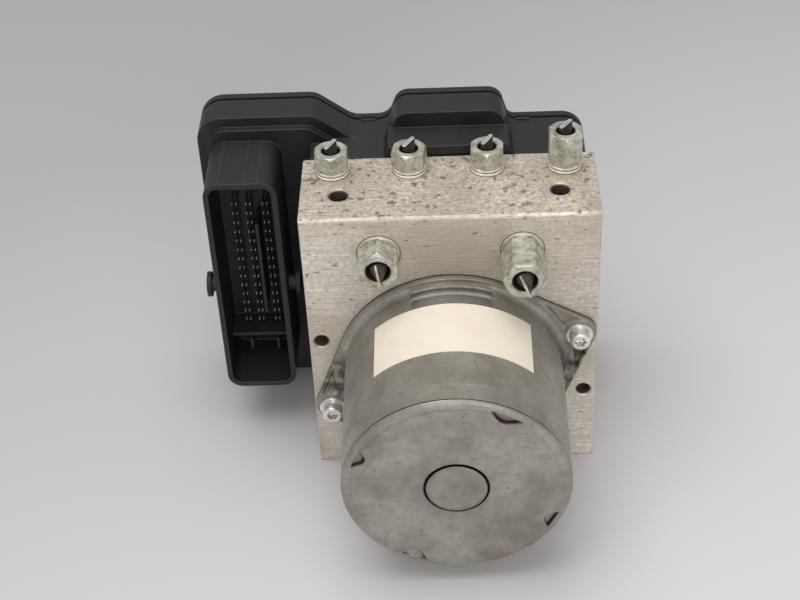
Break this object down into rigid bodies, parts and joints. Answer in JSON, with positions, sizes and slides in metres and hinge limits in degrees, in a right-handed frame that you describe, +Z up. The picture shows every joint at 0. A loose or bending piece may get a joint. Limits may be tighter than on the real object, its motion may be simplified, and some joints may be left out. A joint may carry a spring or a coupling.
{
  "type": "abs brake module",
  "caption": "Car brake control module: valve block with a drum-shaped pump motor, tube nuts holding pinched pipe ends, and a control unit with a long plug shroud.",
  "frame": {"origin": "middle of the valve block's underside", "axes": "x right seen from the motor side, y towards the control unit, z up"},
  "size_m": [0.138, 0.1259, 0.127],
  "materials": {
    "block_aluminium": "machined and lightly corroded",
    "nut_zinc": "zinc plated, dulled",
    "pipe_steel": "cut and pinched",
    "can_steel": "drawn steel, dulled zinc",
    "label_paper": "satin label",
    "screw_zinc": "zinc plated",
    "bearing_steel": "ground",
    "seal_rubber": "matte",
    "magnet_ferrite": "matte",
    "core_steel": "laminated",
    "copper": "enamelled copper",
    "bush_bronze": "sintered bronze",
    "brush_plate_plastic": "moulded",
    "spring_steel": "spring wire",
    "pin_tin": "tin plated",
    "sleeve_steel": "turned",
    "piston_aluminium": "turned",
    "coil_plastic": "moulded",
    "housing_plastic": "fine moulded grain",
    "board_green": "solder resist"
  },
  "bodies": {
    "module": {"accumulator_covers": "sleeve_steel", "accumulator_spring_left": "spring_steel", "accumulator_spring_right": "spring_steel", "brush_plate": "brush_plate_plastic", "brush_springs": "spring_steel", "carbon_brushes": "magnet_ferrite", "circuit_board": "board_green", "circuit_valve_bodies": "sleeve_steel", "drive_bearing_outer": "bearing_steel", "ecu_cover": "housing_plastic", "ecu_housing": "housing_plastic", "ecu_screws": "screw_zinc", "ecu_seal": "seal_rubber", "field_magnets": "magnet_ferrite", "front_bush": "bush_bronze", "inlet_pipe_1": "pipe_steel", "inlet_pipe_2": "pipe_steel", "inlet_valve_bodies": "sleeve_steel", "long_inlet_nut": "nut_zinc", "long_outlet_nut": "nut_zinc", "motor_contact_pins": "pin_tin", "motor_end_plate": "can_steel", "motor_housing": "can_steel", "motor_label": "label_paper", "motor_screws": "screw_zinc", "motor_seal": "seal_rubber", "outlet_pipe_1": "pipe_steel", "outlet_pipe_2": "pipe_steel", "outlet_pipe_3": "pipe_steel", "outlet_pipe_4": "pipe_steel", "outlet_valve_bodies": "sleeve_steel", "power_pins": "pin_tin", "pressure_sensor": "sleeve_steel", "pump_plugs": "sleeve_steel", "pump_sleeves": "sleeve_steel", "pump_spring_left": "spring_steel", "pump_spring_right": "spring_steel", "sealing_balls": "bearing_steel", "short_inlet_nut": "nut_zinc", "short_outlet_nuts": "nut_zinc", "signal_pins": "pin_tin", "valve_block": "block_aluminium", "valve_coils": "coil_plastic"},
    "armature": {"armature_shaft": "bearing_steel", "armature_core": "core_steel", "armature_windings": "copper", "commutator": "copper", "drive_bearing_inner": "bearing_steel", "drive_bearing_balls": "bearing_steel", "eccentric_needles": "bearing_steel", "eccentric_ring": "bearing_steel"},
    "pump_piston_left": {"pump_piston_left": "bearing_steel"},
    "pump_piston_right": {"pump_piston_right": "bearing_steel"},
    "accumulator_piston_left": {"accumulator_piston_left": "piston_aluminium", "accumulator_seal_left": "seal_rubber"},
    "accumulator_piston_right": {"accumulator_piston_right": "piston_aluminium", "accumulator_seal_right": "seal_rubber"},
    "inlet_plungers": {"inlet_valve_plungers": "sleeve_steel"},
    "outlet_plungers": {"outlet_valve_plungers": "sleeve_steel"},
    "circuit_plungers": {"circuit_valve_plungers": "sleeve_steel"}
  },
  "joints": [
    {"name": "armature_spin", "type": "hinge", "parent": "module", "child": "armature", "pos_m": [0, 0, 0.0445], "axis": [0, 1, 0], "continuous": true},
    {"name": "pump_left_slide", "type": "slide", "parent": "module", "child": "pump_piston_left", "axis": [-1, 0, 0], "range_m": [0, 0.0018], "stiffness_N_per_m": 1500, "springref_m": -0.004, "deforming": ["pump_spring_left"]},
    {"name": "pump_right_slide", "type": "slide", "parent": "module", "child": "pump_piston_right", "axis": [1, 0, 0], "range_m": [0, 0.0018], "stiffness_N_per_m": 1500, "springref_m": -0.004, "deforming": ["pump_spring_right"]},
    {"name": "accumulator_left_slide", "type": "slide", "parent": "module", "child": "accumulator_piston_left", "axis": [0, 0, -1], "range_m": [0, 0.005], "stiffness_N_per_m": 800, "springref_m": -0.003, "deforming": ["accumulator_spring_left"]},
    {"name": "accumulator_right_slide", "type": "slide", "parent": "module", "child": "accumulator_piston_right", "axis": [0, 0, -1], "range_m": [0, 0.005], "stiffness_N_per_m": 800, "springref_m": -0.003, "deforming": ["accumulator_spring_right"]},
    {"name": "inlet_plunger_lift", "type": "slide", "parent": "module", "child": "inlet_plungers", "axis": [0, 1, 0], "range_m": [0, 0.0003], "stiffness_N_per_m": 3000, "springref_m": -0.001},
    {"name": "outlet_plunger_lift", "type": "slide", "parent": "module", "child": "outlet_plungers", "axis": [0, 1, 0], "range_m": [0, 0.0003], "stiffness_N_per_m": 3000, "springref_m": -0.001},
    {"name": "circuit_plunger_lift", "type": "slide", "parent": "module", "child": "circuit_plungers", "axis": [0, 1, 0], "range_m": [0, 0.0003], "stiffness_N_per_m": 3000, "springref_m": -0.001}
  ]
}
